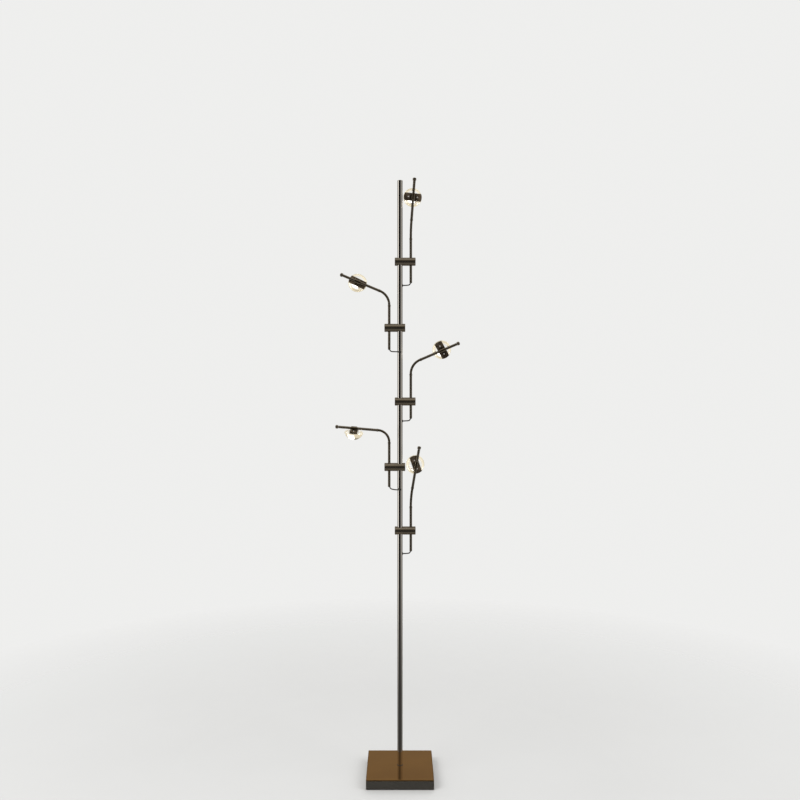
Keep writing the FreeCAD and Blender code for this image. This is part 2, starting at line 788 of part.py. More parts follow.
def make_tip_knob(arm):
    """The round knob on the rod's end, with a crown and a narrow neck that leaves a groove."""
    plug, edge = "lamp.rod_diameter / 2 - lamp.rod_wall", "lamp.knob_diameter / 2"
    low, high = "lamp.knob_groove", "lamp.knob_groove + lamp.knob_length"
    knob = turned_piece(f"arm_{arm.number}_knob", [
        ("0", "-lamp.knob_plug_length"), (plug, "-lamp.knob_plug_length"), (plug, low),
        (f"{edge} - lamp.knob_bevel", low), (edge, f"{low} + lamp.knob_bevel"),
        (edge, f"{high} - lamp.knob_crown"), ("0", high)], dome_from=5)
    place = arm.neck_end + arm.rod_way * size("rod_length")
    knob.Placement = FreeCAD.Placement(place, arm.tilt)
    keep(f"arm_{arm.number}_knob", knob)


# Heads. Each piece's own Z is the lens's direction, and its X the rod's at spin 0.


BRACKET_BACK = "(lamp.hub_face + lamp.face_clearance)"
LED_BACK = f"({BRACKET_BACK} + lamp.bracket_thickness)"
LENS_BACK = f"({LED_BACK} + lamp.led_thickness + lamp.face_clearance)"


def make_head_hub(arm):
    """A sleeve round the rod, a boss behind the bracket and a spigot through it."""
    name = f"head_{arm.number}_hub"
    sleeve = cylinder(f"{name}_sleeve", "lamp.hub_sleeve_diameter / 2", "lamp.hub_sleeve_length",
                      "-lamp.hub_sleeve_length / 2", vector(x=1))
    boss = cylinder(f"{name}_boss", "lamp.hub_boss_diameter / 2",
                    "lamp.hub_face - lamp.hub_boss_back", "lamp.hub_boss_back")
    spigot = cylinder(f"{name}_spigot", "lamp.hub_spigot_diameter / 2",
                      "lamp.hub_spigot_length", "lamp.hub_face")
    bore = cylinder(f"{name}_bore", "lamp.rod_diameter / 2 + lamp.hinge_clearance",
                    "2 * lamp.hub_boss_diameter", "-lamp.hub_boss_diameter", vector(x=1))
    hub = cut(name, fuse(f"{name}_body", [sleeve, boss, spigot]), bore)
    hub.Placement = FreeCAD.Placement(arm.head, arm.head_rotation())
    keep(name, hub)


def make_head_bracket(arm):
    """A flat bar whose round ends are bent up into lips that stand in the lens's rebate."""
    name = f"head_{arm.number}_bracket"
    height = "lamp.bracket_lip_height + lamp.bracket_thickness"
    disc = cylinder(f"{name}_disc", "lamp.bracket_length / 2", height, BRACKET_BACK)
    hollow = cylinder(f"{name}_hollow", "lamp.bracket_length / 2 - lamp.bracket_lip_thickness",
                      height, LED_BACK)
    cup = cut(f"{name}_cup", disc, hollow)
    width = box(f"{name}_width", "lamp.bracket_length", "lamp.bracket_width", height,
                "-lamp.bracket_length / 2", "-lamp.bracket_width / 2", BRACKET_BACK)
    hole = cylinder(f"{name}_hole", "lamp.hub_spigot_diameter / 2 + lamp.hinge_clearance",
                    height, BRACKET_BACK)
    bracket = cut(name, common(f"{name}_strap", [cup, width]), hole)
    place_spun_piece(arm, bracket)
    keep(name, bracket)


def place_spun_piece(arm, piece):
    rotation = arm.head_rotation(size(f"head_{arm.number}_spin_angle"))
    piece.Placement = FreeCAD.Placement(arm.head, rotation)


def make_head_led(arm):
    """The round LED unit on the bracket, with a small dome in the lens's cavity."""
    edge, recess = "lamp.led_diameter / 2", "(lamp.hub_spigot_diameter / 2 + lamp.led_recess_gap)"
    front = f"{LED_BACK} + lamp.led_thickness"
    led = turned_piece(f"head_{arm.number}_led", [
        (recess, LED_BACK), (edge, LED_BACK), (edge, front), ("lamp.led_dome_radius", front),
        ("0", f"{front} + lamp.led_dome_radius"), ("0", f"{LED_BACK} + lamp.led_recess_depth"),
        (recess, f"{LED_BACK} + lamp.led_recess_depth")])
    place_spun_piece(arm, led)
    keep(f"head_{arm.number}_led", led)


def make_head_lens(arm):
    """A thick glass lens: a flat back with a cavity, a rebate, a short skirt and a dome."""
    rebate = "(lamp.bracket_length / 2 - lamp.bracket_lip_thickness - lamp.lens_rebate_gap)"
    edge = "lamp.lens_diameter / 2"
    skirt = f"{LENS_BACK} + lamp.lens_rebate_height"
    shoulder = f"{skirt} + lamp.lens_skirt_height"
    cavity = "lamp.lens_cavity_radius"
    lens = turned_piece(f"head_{arm.number}_lens", [
        (cavity, LENS_BACK), (rebate, LENS_BACK), (rebate, skirt), (edge, skirt), (edge, shoulder),
        ("0", f"{shoulder} + lamp.lens_dome_height"), ("0", f"{LENS_BACK} + {cavity}"),
        (cavity, f"{LENS_BACK} + {cavity} / 2")], dome_from=4)
    place_spun_piece(arm, lens)
    keep(f"head_{arm.number}_lens", lens)


def check_and_write():
    doc.recompute()
    for thing in doc.Objects:
        if "Invalid" in thing.State or "Error" in thing.State:
            raise RuntimeError(f"{thing.Name} failed: {thing.State}")
    for name, thing in nodes.items():
        shape = thing.Shape
        if shape.isNull() or not shape.isValid() or not shape.Solids:
            raise RuntimeError(f"{name} has no valid solid")
    os.makedirs("parts", exist_ok=True)
    for name, thing in nodes.items():
        thing.Shape.exportStep(os.path.join("parts", f"{name}.step"))
    print(f"{len(nodes)} pieces written")


make_base_pad()
make_base_block()
make_base_top_plate()
make_bottom_cover()
make_cover_screws()
make_cord_gland()
make_led_driver()
make_pole()
make_pole_cap()
make_pole_foot()
make_foot_nut()
make_trunk_cable()
make_arm_leads()
make_lead_bushes()
make_clamp_screws()
for arm_number, arm_side in enumerate(SIDES, 1):
    keep(f"clamp_{arm_number}", make_clamp(arm_number, arm_side))
    one_arm = Arm(arm_number, arm_side)
    make_arm_tube(one_arm)
    make_gooseneck(one_arm)
    make_arm_rod(one_arm)
    make_tip_knob(one_arm)
    make_head_hub(one_arm)
    make_head_bracket(one_arm)
    make_head_led(one_arm)
    make_head_lens(one_arm)
check_and_write()
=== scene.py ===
import json
import math

import bmesh
import bpy
from mathutils import Matrix, Vector


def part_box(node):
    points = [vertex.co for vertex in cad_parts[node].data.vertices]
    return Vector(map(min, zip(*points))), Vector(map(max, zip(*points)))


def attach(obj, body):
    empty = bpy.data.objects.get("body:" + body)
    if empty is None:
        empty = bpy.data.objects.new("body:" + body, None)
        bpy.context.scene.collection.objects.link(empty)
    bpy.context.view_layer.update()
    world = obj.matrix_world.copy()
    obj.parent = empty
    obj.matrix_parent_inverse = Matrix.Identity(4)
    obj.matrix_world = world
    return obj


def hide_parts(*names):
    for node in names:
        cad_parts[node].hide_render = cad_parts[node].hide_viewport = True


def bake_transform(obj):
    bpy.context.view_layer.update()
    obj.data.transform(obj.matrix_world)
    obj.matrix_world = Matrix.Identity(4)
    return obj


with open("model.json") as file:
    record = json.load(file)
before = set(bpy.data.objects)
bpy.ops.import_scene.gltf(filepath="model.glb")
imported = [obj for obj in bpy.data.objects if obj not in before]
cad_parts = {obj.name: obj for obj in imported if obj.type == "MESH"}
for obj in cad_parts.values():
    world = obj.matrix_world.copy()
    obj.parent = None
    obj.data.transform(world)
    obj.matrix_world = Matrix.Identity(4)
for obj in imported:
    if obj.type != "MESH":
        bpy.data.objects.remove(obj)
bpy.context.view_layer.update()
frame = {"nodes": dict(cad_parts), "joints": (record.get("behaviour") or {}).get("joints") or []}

# Tree floor lamp. Metres, Z up, the camera looks along +Y.

joints = {joint["name"]: joint for joint in frame["joints"]}
up = Vector((0, 0, 1))
right, left = 1, -1
weldGap = 1e-6  # points nearer than this are joined


# Small tools for edit mode


def deselectAll():
    if bpy.context.object and bpy.context.object.mode == "EDIT":
        bpy.ops.object.mode_set(mode="OBJECT")
    bpy.ops.object.select_all(action="DESELECT")


def selectOnly(piece):
    deselectAll()
    piece.select_set(True)
    bpy.context.view_layer.objects.active = piece


def startEditing(piece):
    selectOnly(piece)
    bpy.ops.object.mode_set(mode="EDIT")


def nameActive(name):
    bpy.ops.object.mode_set(mode="OBJECT")
    piece = bpy.context.active_object
    piece.name = name
    piece.data.name = name
    return piece


def pickParts(piece, kind, wanted):
    # kind is FACE or EDGE
    bpy.ops.mesh.select_mode(type=kind)
    bpy.ops.mesh.select_all(action="DESELECT")
    shape = bmesh.from_edit_mesh(piece.data)
    for part in shape.faces if kind == "FACE" else shape.edges:
        part.select_set(wanted(part))
    bmesh.update_edit_mesh(piece.data)


def setAll(thing, settings):
    for key, value in settings.items():
        setattr(thing, key, value)


def applyModifier(piece, kind, **settings):
    modifier = piece.modifiers.new(kind.lower(), kind)
    setAll(modifier, settings)
    bpy.context.view_layer.objects.active = piece
    bpy.ops.object.modifier_apply(modifier=modifier.name)


def mergeAndTurnOut(piece):
    startEditing(piece)
    bpy.ops.mesh.select_all(action="SELECT")
    bpy.ops.mesh.remove_doubles(threshold=weldGap)
    bpy.ops.mesh.normals_make_consistent(inside=False)
    bpy.ops.object.mode_set(mode="OBJECT")


def smoothBelow(piece, degrees):
    selectOnly(piece)
    bpy.ops.object.shade_smooth_by_angle(angle=math.radians(degrees))


def drawProfile(name, points):
    # one point at a time, radius along X and height along Z
    deselectAll()
    bpy.ops.mesh.primitive_plane_add(size=0.01, location=(0, 0, 0))
    bpy.ops.object.mode_set(mode="EDIT")
    bpy.ops.mesh.select_mode(type="VERT")
    bpy.ops.mesh.merge(type="CENTER")  # one point is left of it, at the origin
    radius, height = points[0]
    bpy.ops.transform.translate(value=(radius, 0, height))
    for nextRadius, nextHeight in points[1:]:
        step = (nextRadius - radius, 0, nextHeight - height)
        bpy.ops.mesh.extrude_region_move(TRANSFORM_OT_translate={"value": step})
        radius, height = nextRadius, nextHeight
    return nameActive(name)


def turnProfile(name, points, steps, rise=0.0, turns=1):
    # once round the Z axis, or as a winding where it rises
    piece = drawProfile(name, points)
    applyModifier(piece, "SCREW", steps=steps, render_steps=steps, screw_offset=rise,
                  iterations=turns, use_merge_vertices=(rise == 0), merge_threshold=weldGap)
    mergeAndTurnOut(piece)
    return piece


def arcPoints(centre, radius, startDegrees, endDegrees, count):
    points = []
    for i in range(count + 1):
        angle = math.radians(startDegrees + (endDegrees - startDegrees) * i / count)
        points.append((centre[0] + radius * math.cos(angle), centre[1] + radius * math.sin(angle)))
    return points


def placeMatrix(origin, zWay, xWay):
    # takes a piece's own Z to zWay and its X as near to xWay as it can
    z = Vector(zWay).normalized()
    y = z.cross(Vector(xWay)).normalized()
    x = y.cross(z)
    turned = Matrix((x, y, z)).transposed().to_4x4()
    return Matrix.Translation(Vector(origin)) @ turned


def putInPlace(piece, matrix):
    selectOnly(piece)
    piece.matrix_world = matrix
    bpy.ops.object.transform_apply(location=True, rotation=True, scale=True)


def copyOf(piece, name):
    selectOnly(piece)
    bpy.ops.object.duplicate()
    return nameActive(name)


def dropPattern(piece):
    selectOnly(piece)
    bpy.ops.object.delete()


def finishPiece(piece, body, slotName, finish, *replacedNodes):
    piece.data.materials.clear()
    piece.data.materials.append(finishes[finish])
    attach(piece, body)
    if replacedNodes:
        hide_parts(*replacedNodes)


def placeCopy(pattern, name, matrix, body, slotName, finish, *replacedNodes):
    piece = copyOf(pattern, name)
    putInPlace(piece, matrix)
    finishPiece(piece, body, slotName, finish, *replacedNodes)


# Materials


class NodeBench:
    # a node tree, with short calls for the nodes that most finishes use

    def __init__(self, tree):
        self.nodes = tree.nodes
        self.links = tree.links

    def add(self, kind, **settings):
        node = self.nodes.new(kind)
        setAll(node, settings)
        return node

    def link(self, start, end):
        self.links.new(start, end)

    def spread(self, value, low, high, fromLow=0.35, fromHigh=0.65, **settings):
        # a noise lies mostly between 0.35 and 0.65, which become low and high
        ranged = self.add("ShaderNodeMapRange", **settings)
        ranged.inputs["From Min"].default_value = fromLow
        ranged.inputs["From Max"].default_value = fromHigh
        ranged.inputs["To Min"].default_value = low
        ranged.inputs["To Max"].default_value = high
        self.link(value, ranged.inputs["Value"])
        return ranged.outputs["Result"]

    def tint(self, value, first, second):
        # each of the two is a colour or another node's output
        mix = self.add("ShaderNodeMix", data_type="RGBA")
        for colour, socket in ((first, mix.inputs["A"]), (second, mix.inputs["B"])):
            if isinstance(colour, tuple):
                socket.default_value = (*colour, 1)
            else:
                self.link(colour, socket)
        self.link(value, mix.inputs["Factor"])
        return mix.outputs["Result"]


class Paint(NodeBench):
    # a material for a surface

    def __init__(self, name):
        self.material = bpy.data.materials.new(name)
        self.material.use_nodes = True
        super().__init__(self.material.node_tree)
        self.shader = self.nodes["Principled BSDF"]

    def place(self, stretch=(1, 1, 1)):
        where = self.add("ShaderNodeTexCoord")
        mapping = self.add("ShaderNodeMapping")
        mapping.inputs["Scale"].default_value = stretch
        self.link(where.outputs["Object"], mapping.inputs["Vector"])
        return mapping.outputs["Vector"]

    def noise(self, scale, detail, roughness=0.55, stretch=(1, 1, 1)):
        cloud = self.add("ShaderNodeTexNoise")
        cloud.inputs["Scale"].default_value = scale
        cloud.inputs["Detail"].default_value = detail
        cloud.inputs["Roughness"].default_value = roughness
        self.link(self.place(stretch), cloud.inputs["Vector"])
        return cloud.outputs["Fac"]

    def colour(self, value):
        self.link(value, self.shader.inputs["Base Color"])

    def bump(self, value, depth, edgeRadius=0.0):
        bump = self.add("ShaderNodeBump")
        bump.inputs["Strength"].default_value = 1.0
        bump.inputs["Distance"].default_value = depth
        self.link(value, bump.inputs["Height"])
        if edgeRadius:
            softEdge = self.add("ShaderNodeBevel", samples=4)
            softEdge.inputs["Radius"].default_value = edgeRadius
            self.link(softEdge.outputs["Normal"], bump.inputs["Normal"])
        self.link(bump.outputs["Normal"], self.shader.inputs["Normal"])

    def set(self, values):
        for socket, value in values.items():
            self.shader.inputs[socket].default_value = value


def makeMetal(name, look):
    # smudges change its tint and roughness, and a fine grain its surface
    paint = Paint(name)
    smudge = paint.noise(look["smudgeScale"], detail=5, roughness=0.6)
    paint.colour(paint.tint(paint.spread(smudge, 0, 1), look["tint"], look["worn"]))
    rough = paint.spread(smudge, look["roughLow"], look["roughHigh"])
    paint.link(rough, paint.shader.inputs["Roughness"])
    grain = paint.noise(look["grainScale"], detail=2, stretch=look["grainStretch"])
    paint.bump(grain, look["grainDepth"], look["edgeRadius"])
    paint.set({"Metallic": look.get("metallic", 1.0)})
    return paint.material


metals = {
    "polishedNickel": {
        "tint": (0.74, 0.71, 0.67), "worn": (0.66, 0.63, 0.59), "smudgeScale": 9,
        "roughLow": 0.03, "roughHigh": 0.08,
        "grainScale": 900, "grainStretch": (1, 1, 0.02), "grainDepth": 0.000002, "edgeRadius": 0.0003},
    # painted shade and warm reflection: the clamps, tubes, rods and knobs get a darker, browner copy of the
    # pole's nickel
    "shadedArmNickel": {
        "tint": (0.22, 0.19, 0.145), "worn": (0.17, 0.145, 0.11), "smudgeScale": 14,
        "roughLow": 0.06, "roughHigh": 0.13, "metallic": 0.9,
        "grainScale": 1200, "grainStretch": (1, 1, 1), "grainDepth": 0.000002, "edgeRadius": 0.0003},
    # painted shade and warm reflection: the goosenecks get a darker, browner copy of the pole's nickel
    "shadedNeckNickel": {
        "tint": (0.2, 0.17, 0.12), "worn": (0.13, 0.11, 0.08), "smudgeScale": 40,
        "roughLow": 0.16, "roughHigh": 0.28,
        "grainScale": 1500, "grainStretch": (1, 1, 1), "grainDepth": 0.000003, "edgeRadius": 0.0},
    "bronzePlate": {
        "tint": (0.34, 0.195, 0.07), "worn": (0.29, 0.165, 0.06), "smudgeScale": 5,
        "roughLow": 0.035, "roughHigh": 0.075,
        "grainScale": 600, "grainStretch": (1, 0.04, 1), "grainDepth": 0.000001, "edgeRadius": 0.0009},
    "blockNickel": {
        "tint": (0.4, 0.375, 0.33), "worn": (0.33, 0.31, 0.275), "smudgeScale": 8,
        "roughLow": 0.16, "roughHigh": 0.26, "metallic": 0.91,
        "grainScale": 700, "grainStretch": (0.03, 0.03, 1), "grainDepth": 0.000003, "edgeRadius": 0.0004},
    # painted shade and warm reflection: the hubs get a darker, browner copy of the pole's nickel
    "shadedHubNickel": {
        "tint": (0.2, 0.17, 0.12), "worn": (0.15, 0.125, 0.09), "smudgeScale": 60,
        "roughLow": 0.14, "roughHigh": 0.24,
        "grainScale": 1500, "grainStretch": (1, 1, 1), "grainDepth": 0.000003, "edgeRadius": 0.0004},
    "bracketBronze": {
        "tint": (0.2, 0.15, 0.1), "worn": (0.045, 0.032, 0.02), "smudgeScale": 48,
        "roughLow": 0.14, "roughHigh": 0.3, "metallic": 0.5,
        "grainScale": 1300, "grainStretch": (1, 1, 1), "grainDepth": 0.000003, "edgeRadius": 0.0003},
    "screwSteel": {
        "tint": (0.8, 0.77, 0.72), "worn": (0.68, 0.65, 0.6), "smudgeScale": 90,
        "roughLow": 0.28, "roughHigh": 0.4, "metallic": 0.4,
        "grainScale": 2500, "grainStretch": (1, 1, 1), "grainDepth": 0.000003, "edgeRadius": 0.00015},
}


def makePlastic(name, look):
    paint = Paint(name)
    cloud = paint.noise(look["cloudScale"], detail=4)
    paint.colour(paint.tint(paint.spread(cloud, 0, 1), look["tint"], look["worn"]))
    rough = paint.spread(cloud, look["roughLow"], look["roughHigh"])
    paint.link(rough, paint.shader.inputs["Roughness"])
    paint.bump(paint.noise(look["grainScale"], detail=2), look["grainDepth"], look["edgeRadius"])
    return paint.material


plastics = {
    "blackNylon": {
        "tint": (0.022, 0.021, 0.02), "worn": (0.034, 0.032, 0.03), "cloudScale": 80,
        "roughLow": 0.38, "roughHigh": 0.52,
        "grainScale": 3200, "grainDepth": 0.00001, "edgeRadius": 0.0003},
    "leadSheath": {
        "tint": (0.016, 0.014, 0.011), "worn": (0.028, 0.025, 0.02), "cloudScale": 120,
        "roughLow": 0.38, "roughHigh": 0.5,
        "grainScale": 2600, "grainDepth": 0.00001, "edgeRadius": 0.0},
    "blackPaint": {
        "tint": (0.026, 0.026, 0.026), "worn": (0.034, 0.034, 0.034), "cloudScale": 40,
        "roughLow": 0.5, "roughHigh": 0.62,
        "grainScale": 1800, "grainDepth": 0.00002, "edgeRadius": 0.0003},
    "driverWhite": {
        "tint": (0.72, 0.72, 0.7), "worn": (0.66, 0.66, 0.64), "cloudScale": 50,
        "roughLow": 0.4, "roughHigh": 0.5,
        "grainScale": 2200, "grainDepth": 0.00001, "edgeRadius": 0.0006},
    "holderBlack": {
        "tint": (0.035, 0.03, 0.024), "worn": (0.055, 0.047, 0.038), "cloudScale": 300,
        "roughLow": 0.3, "roughHigh": 0.42,
        "grainScale": 4000, "grainDepth": 0.000004, "edgeRadius": 0.0001},
    "baseFelt": {
        "tint": (0.028, 0.028, 0.029), "worn": (0.05, 0.05, 0.052), "cloudScale": 900,
        "roughLow": 0.9, "roughHigh": 0.98,
        "grainScale": 2400, "grainDepth": 0.00012, "edgeRadius": 0.0},
}

# glow, glowStrength and glowGrows set the lens's painted glow, which grows towards the rim
lensLook = {"tint": (0.985, 0.99, 0.98), "ior": 1.5, "roughness": 0.012,
            "waveScale": 35, "waveDepth": 0.00002,
            "glow": (1.0, 0.88, 0.6), "glowStrength": (0.01, 0.13), "glowGrows": (0.6, 0.95)}


def makeLensGlass():
    # painted glow: the lit lens glows a little by its own emission, most of all at its rim, in place of LED
    # light scattered in the glass
    paint = Paint("lensGlass")
    paint.set({"Base Color": (*lensLook["tint"], 1), "IOR": lensLook["ior"], "Transmission Weight": 1.0,
               "Roughness": lensLook["roughness"], "Emission Color": (*lensLook["glow"], 1)})
    rim = paint.add("ShaderNodeAttribute", attribute_name="rim")
    glow = paint.spread(rim.outputs["Fac"], *lensLook["glowStrength"], *lensLook["glowGrows"])
    paint.link(glow, paint.shader.inputs["Emission Strength"])
    paint.bump(paint.noise(lensLook["waveScale"], detail=1), lensLook["waveDepth"])
    return paint.material


ledLook = {"tint": (1.0, 0.82, 0.45), "worn": (1.0, 0.76, 0.36), "cloudScale": 500, "roughness": 0.35,
           "glow": (1.0, 0.83, 0.55), "glowStrength": 6.0}


def makeLedGlow():
    paint = Paint("ledPhosphor")
    cloud = paint.noise(ledLook["cloudScale"], detail=2)
    paint.colour(paint.tint(paint.spread(cloud, 0, 1), ledLook["tint"], ledLook["worn"]))
    paint.set({"Roughness": ledLook["roughness"], "Emission Color": (*ledLook["glow"], 1),
               "Emission Strength": ledLook["glowStrength"]})
    return paint.material


finishes = {name: makeMetal(name, look) for name, look in metals.items()}
finishes.update({name: makePlastic(name, look) for name, look in plastics.items()})
finishes["lensGlass"] = makeLensGlass()
finishes["ledPhosphor"] = makeLedGlow()
print(f"materials: {len(finishes)} finishes mixed")


# Finishes of the machined pieces that the frame already holds

nodeFinishes = {
    "base_block": "blockNickel", "base_top_plate": "bronzePlate", "base_bottom_cover": "blackPaint",
    "cover_screws": "screwSteel", "cord_gland": "blackNylon", "led_driver": "driverWhite",
    "pole": "polishedNickel", "pole_cap": "polishedNickel", "pole_foot": "screwSteel",
    "pole_foot_nut": "screwSteel", "trunk_cable": "blackNylon", "lead_bushes": "blackNylon",
    "clamp": "shadedArmNickel", "tube": "shadedArmNickel", "rod": "shadedArmNickel", "knob": "shadedArmNickel",
    "hub": "shadedHubNickel", "bracket": "bracketBronze"}


def finishOf(node):
    # by its full name, or by the word in it that says what it is
    if node in nodeFinishes:
        return nodeFinishes[node]
    kind = "clamp" if node.startswith("clamp_") else node.split("_")[-1]
    return nodeFinishes.get(kind)


def paintFrame():
    painted = 0
    for name, node in frame["nodes"].items():
        finish = finishOf(name)
        if not finish:
            continue  # a piece made further down takes its place
        if not node.material_slots:
            node.data.materials.append(finishes[finish])
        for materialSlot in node.material_slots:
            materialSlot.material = finishes[finish]
        painted += 1
    print(f"frame: {painted} machined pieces painted")


paintFrame()


# Where each arm stands, read from the frame's joints and boxes


class Arm:
    def __init__(self, number):
        self.number = number
        low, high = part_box(f"arm_{number}_tube")
        self.foot = Vector(((low.x + high.x) / 2, (low.y + high.y) / 2, low.z))
        self.neckStart = Vector((self.foot.x, self.foot.y, high.z))
        self.side = right if self.foot.x > 0 else left
        turn, spin = joints[f"head_{number}_turn"], joints[f"head_{number}_spin"]
        self.rodWay = -self.side * Vector(turn["axis"])
        self.lensWay = self.side * Vector(spin["axis"])
        self.head = Vector(spin["pos_m"])
        self.bend = up.angle(self.rodWay)
        pivot = Vector(joints[f"arm_{number}_bend"]["pos_m"])
        self.tangent = (pivot - self.neckStart).length
        self.neckEnd = pivot + self.rodWay * self.tangent
        self.neckLength = self.bend * self.tangent / math.tan(self.bend / 2)

    def headMatrix(self):
        return placeMatrix(self.head, self.lensWay, self.rodWay)

    def depthReach(self, node):
        # nearest and furthest point of a head's piece along the lens's way, and its radius
        points = [vertex.co - self.head for vertex in frame["nodes"][node].data.vertices]
        depths = [point.dot(self.lensWay) for point in points]
        radii = [(point - self.lensWay * depth).length for point, depth in zip(points, depths)]
        return min(depths), max(depths), max(radii)


arms = {number: Arm(number) for number in range(1, 6)}  # from the top down


# Goosenecks: a wound metal neck, straight at first, then bent and set on its tube

neck = {"diameter": 0.0076, "pitch": 0.0021, "groove": 0.00042, "sides": 28, "spareTurns": 2,
        "smoothAngle": 50,
        # each point of one turn: how far along the pitch, and how deep in the groove
        "turnShape": ((0, 1), (0.1, 1), (0.2, 0.3), (0.34, 0), (0.76, 0), (0.9, 0.3), (1, 1))}


def windNeck(arm):
    pitch = neck["pitch"]
    profile = [(neck["diameter"] / 2 - deep * neck["groove"], (along - 1) * pitch)
               for along, deep in neck["turnShape"]]
    turns = math.ceil(arm.neckLength / pitch) + neck["spareTurns"]
    piece = turnProfile(f"arm_{arm.number}_neck_winding", profile, neck["sides"], rise=pitch, turns=turns)
    startEditing(piece)
    for height, way in ((0, -1), (arm.neckLength, 1)):  # cuts both ends flat
        bpy.ops.mesh.select_all(action="SELECT")
        bpy.ops.mesh.bisect(plane_co=(0, 0, height), plane_no=(0, 0, way), use_fill=True, clear_outer=True)
    bpy.ops.object.mode_set(mode="OBJECT")
    applyModifier(piece, "SIMPLE_DEFORM", deform_method="BEND", deform_axis="Y", angle=arm.side * arm.bend)
    smoothBelow(piece, neck["smoothAngle"])
    putInPlace(piece, Matrix.Translation(arm.neckStart))
    piece.data.materials.append(finishes["shadedNeckNickel"])
    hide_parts(f"arm_{arm.number}_gooseneck")
    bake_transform(piece)


for arm in arms.values():
    windNeck(arm)
print("goosenecks: five wound necks bent")


# Lenses: thick clear glass, turned once to the size of the first head's lens and copied

lens = {"cavityRadius": 0.004, "cavitySteps": 8, "rebateInset": 0.0025, "rebateHeight": 0.003,
        "skirtHeight": 0.0025, "domeRings": 24, "sides": 96, "edgeRound": 0.00035, "edgeSteps": 2,
        "sharpAngle": 40, "smoothAngle": 35}


def turnLens(back, apex, radius):
    cavity = lens["cavityRadius"]
    rebateRadius, rebateTop = radius - lens["rebateInset"], back + lens["rebateHeight"]
    shoulder = rebateTop + lens["skirtHeight"]
    domeHeight = apex - shoulder
    domeRadius = (radius ** 2 + domeHeight ** 2) / (2 * domeHeight)
    domeCentre = apex - domeRadius
    edgeAngle = math.degrees(math.asin((shoulder - domeCentre) / domeRadius))
    profile = list(reversed(arcPoints((0, back), cavity, 0, 90, lens["cavitySteps"])))
    profile[0] = (0, back + cavity)  # exactly on the axis
    profile += [(rebateRadius, back), (rebateRadius, rebateTop), (radius, rebateTop)]
    dome = arcPoints((0, domeCentre), domeRadius, edgeAngle, 90, lens["domeRings"])
    dome[-1] = (0, apex)
    return turnProfile("lens_pattern", profile + dome, lens["sides"])


def markRim(piece, radius):
    # how far out each point lies, 0 on the axis and 1 at the rim; the lens's painted glow grows with it
    rim = piece.data.attributes.new("rim", "FLOAT", "POINT")
    for mark, vertex in zip(rim.data, piece.data.vertices):
        mark.value = vertex.co.xy.length / radius


def makeLenses():
    back, apex, radius = arms[1].depthReach("head_1_lens")
    pattern = turnLens(back, apex, radius)
    applyModifier(pattern, "BEVEL", width=lens["edgeRound"], segments=lens["edgeSteps"], limit_method="ANGLE",
                  angle_limit=math.radians(lens["sharpAngle"]))
    smoothBelow(pattern, lens["smoothAngle"])
    markRim(pattern, radius)
    for arm in arms.values():
        head = f"head_{arm.number}"
        placeCopy(pattern, f"{head}_lens_glass", arm.headMatrix(), head, "clear_glass", "lensGlass",
                  f"{head}_lens")
    dropPattern(pattern)
    print("lenses: five glass domes turned")


makeLenses()


# LED units: a dark holder on the bracket, with a raised base and a small glowing dome

led = {"recessRadius": 0.0048, "recessDepth": 0.0012, "holderThickness": 0.0016, "edge": 0.0002,
       "baseRadius": 0.0038, "domeRadius": 0.003, "domeRings": 8, "sides": 48,
       "holderSmoothAngle": 35, "domeSmoothAngle": 50}


def turnHolder(back, front, radius):
    recess, base, edge = led["recessRadius"], led["baseRadius"], led["edge"]
    recessTop = back + led["recessDepth"]
    step = back + led["holderThickness"]
    return turnProfile("led_holder_pattern", [
        (0, recessTop), (recess, recessTop), (recess, back),
        (radius - edge, back), (radius, back + edge), (radius, step - edge), (radius - edge, step),
        (base + edge, step), (base, step + edge), (base, front - edge), (base - edge, front),
        (0, front)], led["sides"])


def turnGlowDome(seat):
    dome = arcPoints((0, seat), led["domeRadius"], 0, 90, led["domeRings"])
    dome[-1] = (0, seat + led["domeRadius"])
    return turnProfile("led_dome_pattern", [(0, seat)] + dome, led["sides"])


def makeLeds():
    back, tip, radius = arms[1].depthReach("head_1_led")
    front = tip - led["domeRadius"]
    holderPattern = turnHolder(back, front, radius)
    smoothBelow(holderPattern, led["holderSmoothAngle"])
    domePattern = turnGlowDome(front)
    smoothBelow(domePattern, led["domeSmoothAngle"])
    for arm in arms.values():
        head = f"head_{arm.number}"
        placeCopy(holderPattern, f"{head}_led_holder", arm.headMatrix(), head, "dark_hub", "holderBlack",
                  f"{head}_led")
        placeCopy(domePattern, f"{head}_led_dome", arm.headMatrix(), head, "led_light", "ledPhosphor",
                  f"{head}_led")
    dropPattern(holderPattern)
    dropPattern(domePattern)
    print("LED units: five holders and domes placed")


makeLeds()


# Set screws in the clamps' ends, with hexagon sockets

setScrew = {"diameter": 0.005, "length": 0.0072, "recess": 0.0008, "chamfer": 0.0004, "socketAcross": 0.0025,
            "socketDepth": 0.0024, "sides": 32, "smoothAngle": 30}


def makeSetScrewPattern():
    # its outer end is at the origin and it points down
    radius, chamfer, length = setScrew["diameter"] / 2, setScrew["chamfer"], setScrew["length"]
    pattern = turnProfile("set_screw_pattern", [
        (0, -length), (radius - chamfer, -length), (radius, -length + chamfer), (radius, -chamfer),
        (radius - chamfer, 0), (0, 0)], setScrew["sides"])
    deselectAll()
    bpy.ops.mesh.primitive_cylinder_add(vertices=6, radius=setScrew["socketAcross"] / math.sqrt(3),
                                        depth=2 * setScrew["socketDepth"], location=(0, 0, 0))
    key = nameActive("socket_key")
    applyModifier(pattern, "BOOLEAN", operation="DIFFERENCE", solver="EXACT", object=key)
    dropPattern(key)
    smoothBelow(pattern, setScrew["smoothAngle"])
    return pattern


